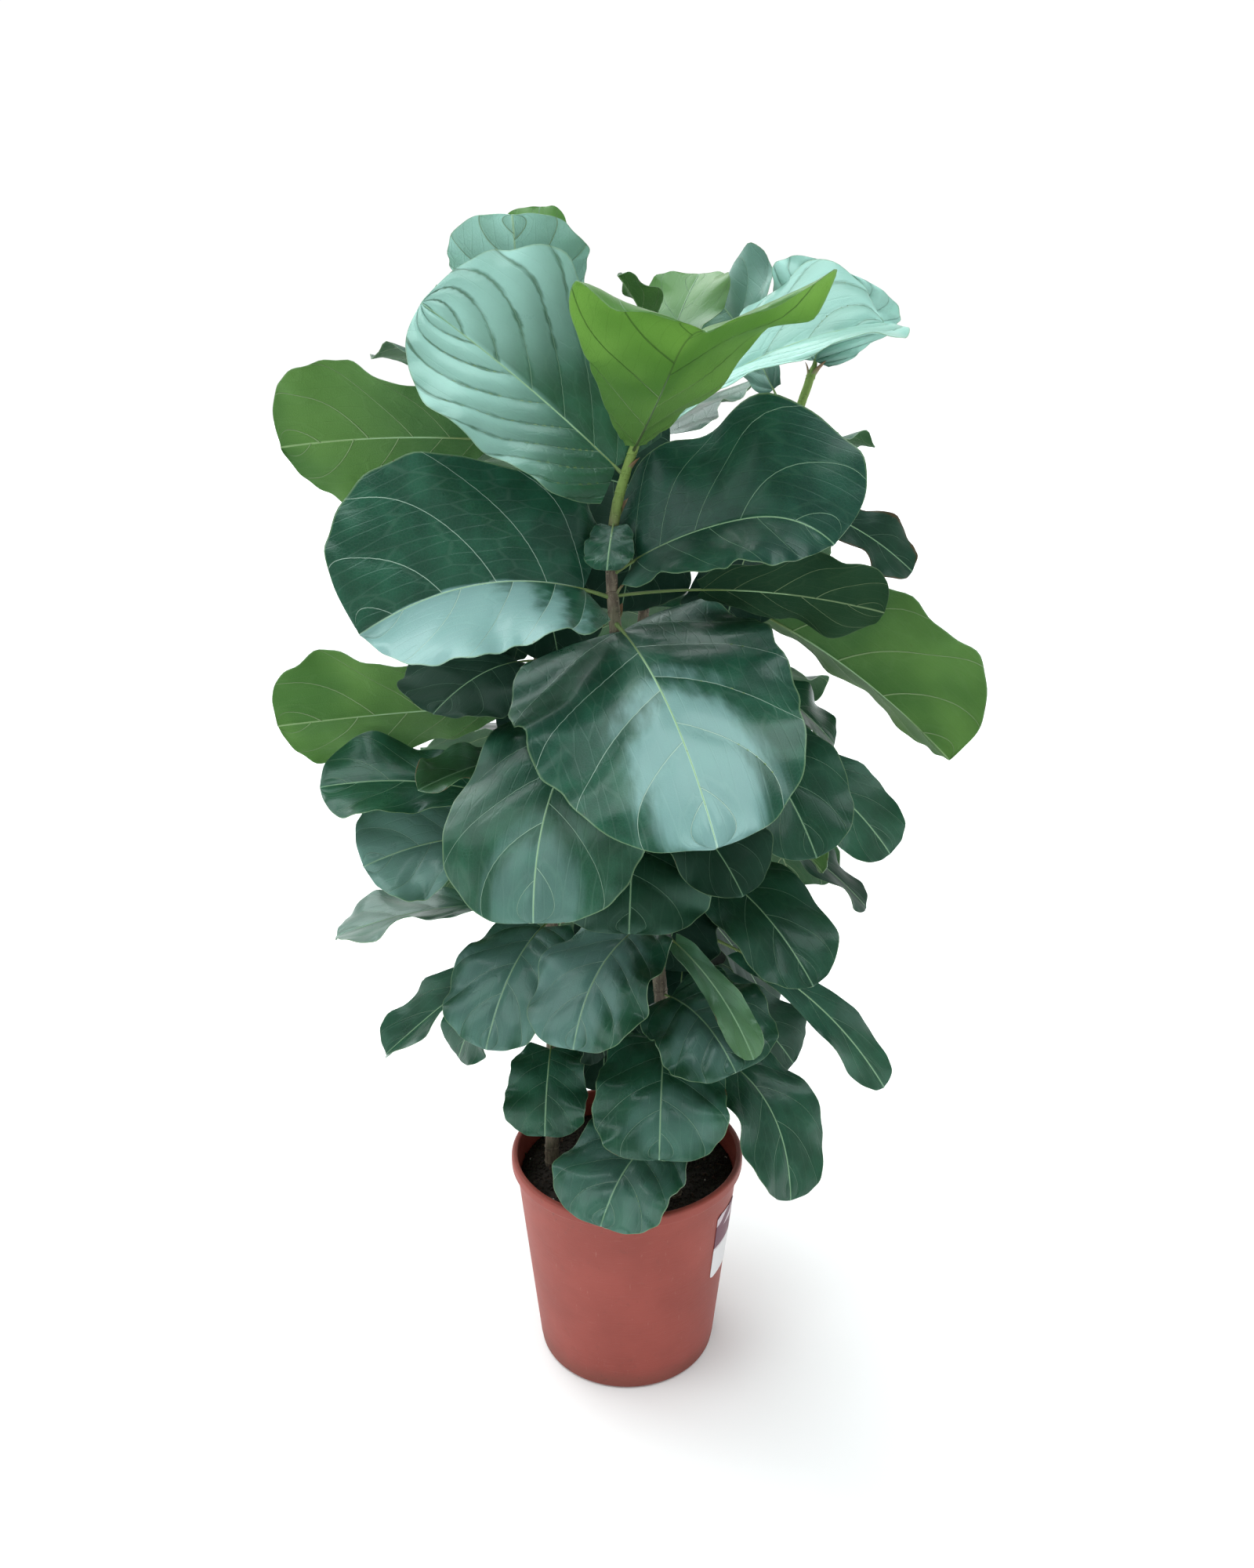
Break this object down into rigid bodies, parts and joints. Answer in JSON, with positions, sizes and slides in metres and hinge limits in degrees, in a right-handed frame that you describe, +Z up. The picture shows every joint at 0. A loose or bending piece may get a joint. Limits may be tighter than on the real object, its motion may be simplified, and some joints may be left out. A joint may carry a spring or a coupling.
{
  "type": "potted fiddle leaf fig",
  "caption": "Potted fiddle leaf fig with large wavy violin-shaped leaves on upright stems in a round tapered nursery pot of soil.",
  "frame": {"origin": "centre of the pot's flat underside, on the ground", "axes": "+Z straight up along the pot's axis; -Y is the front of the plant, the side the front stem stands on; +X is to the right seen from the front"},
  "size_m": [0.6687, 0.632, 1.1452],
  "materials": {
    "pot_plastic": "semi-matt terracotta-red moulded plastic",
    "potting_soil": null,
    "label_film": "satin printed film, plain and blank",
    "fig_leaf": null,
    "fig_bark": "dull grey-brown bark"
  },
  "bodies": {
    "root": {"pot": "pot_plastic", "soil": "potting_soil", "pot_label": "label_film", "leafy_stem_front": "fig_leaf", "leafy_stem_left": "fig_leaf", "leafy_stem_right": "fig_leaf", "leafy_stem_back": "fig_leaf"}
  },
  "joints": []
}
